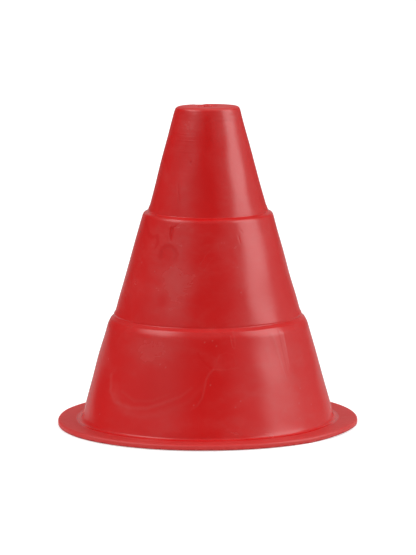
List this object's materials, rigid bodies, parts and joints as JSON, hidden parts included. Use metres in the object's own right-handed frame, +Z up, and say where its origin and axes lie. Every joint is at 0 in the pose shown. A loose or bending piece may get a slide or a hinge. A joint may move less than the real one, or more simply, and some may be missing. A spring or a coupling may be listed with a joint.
{
  "type": "training cone",
  "caption": "Small stackable marker cone, moulded in one piece: flat round brim, stepped tapering hollow body and closed top with a gate stub.",
  "frame": {"origin": "centre of the brim's underside, the face that the cone stands on", "axes": "+Z up along the cone's axis; the cone is round, so X and Y are alike"},
  "size_m": [0.1412, 0.1412, 0.1506],
  "materials": {
    "red_plastic": "satin"
  },
  "bodies": {
    "root": {"cone_shell": "red_plastic"}
  },
  "joints": []
}
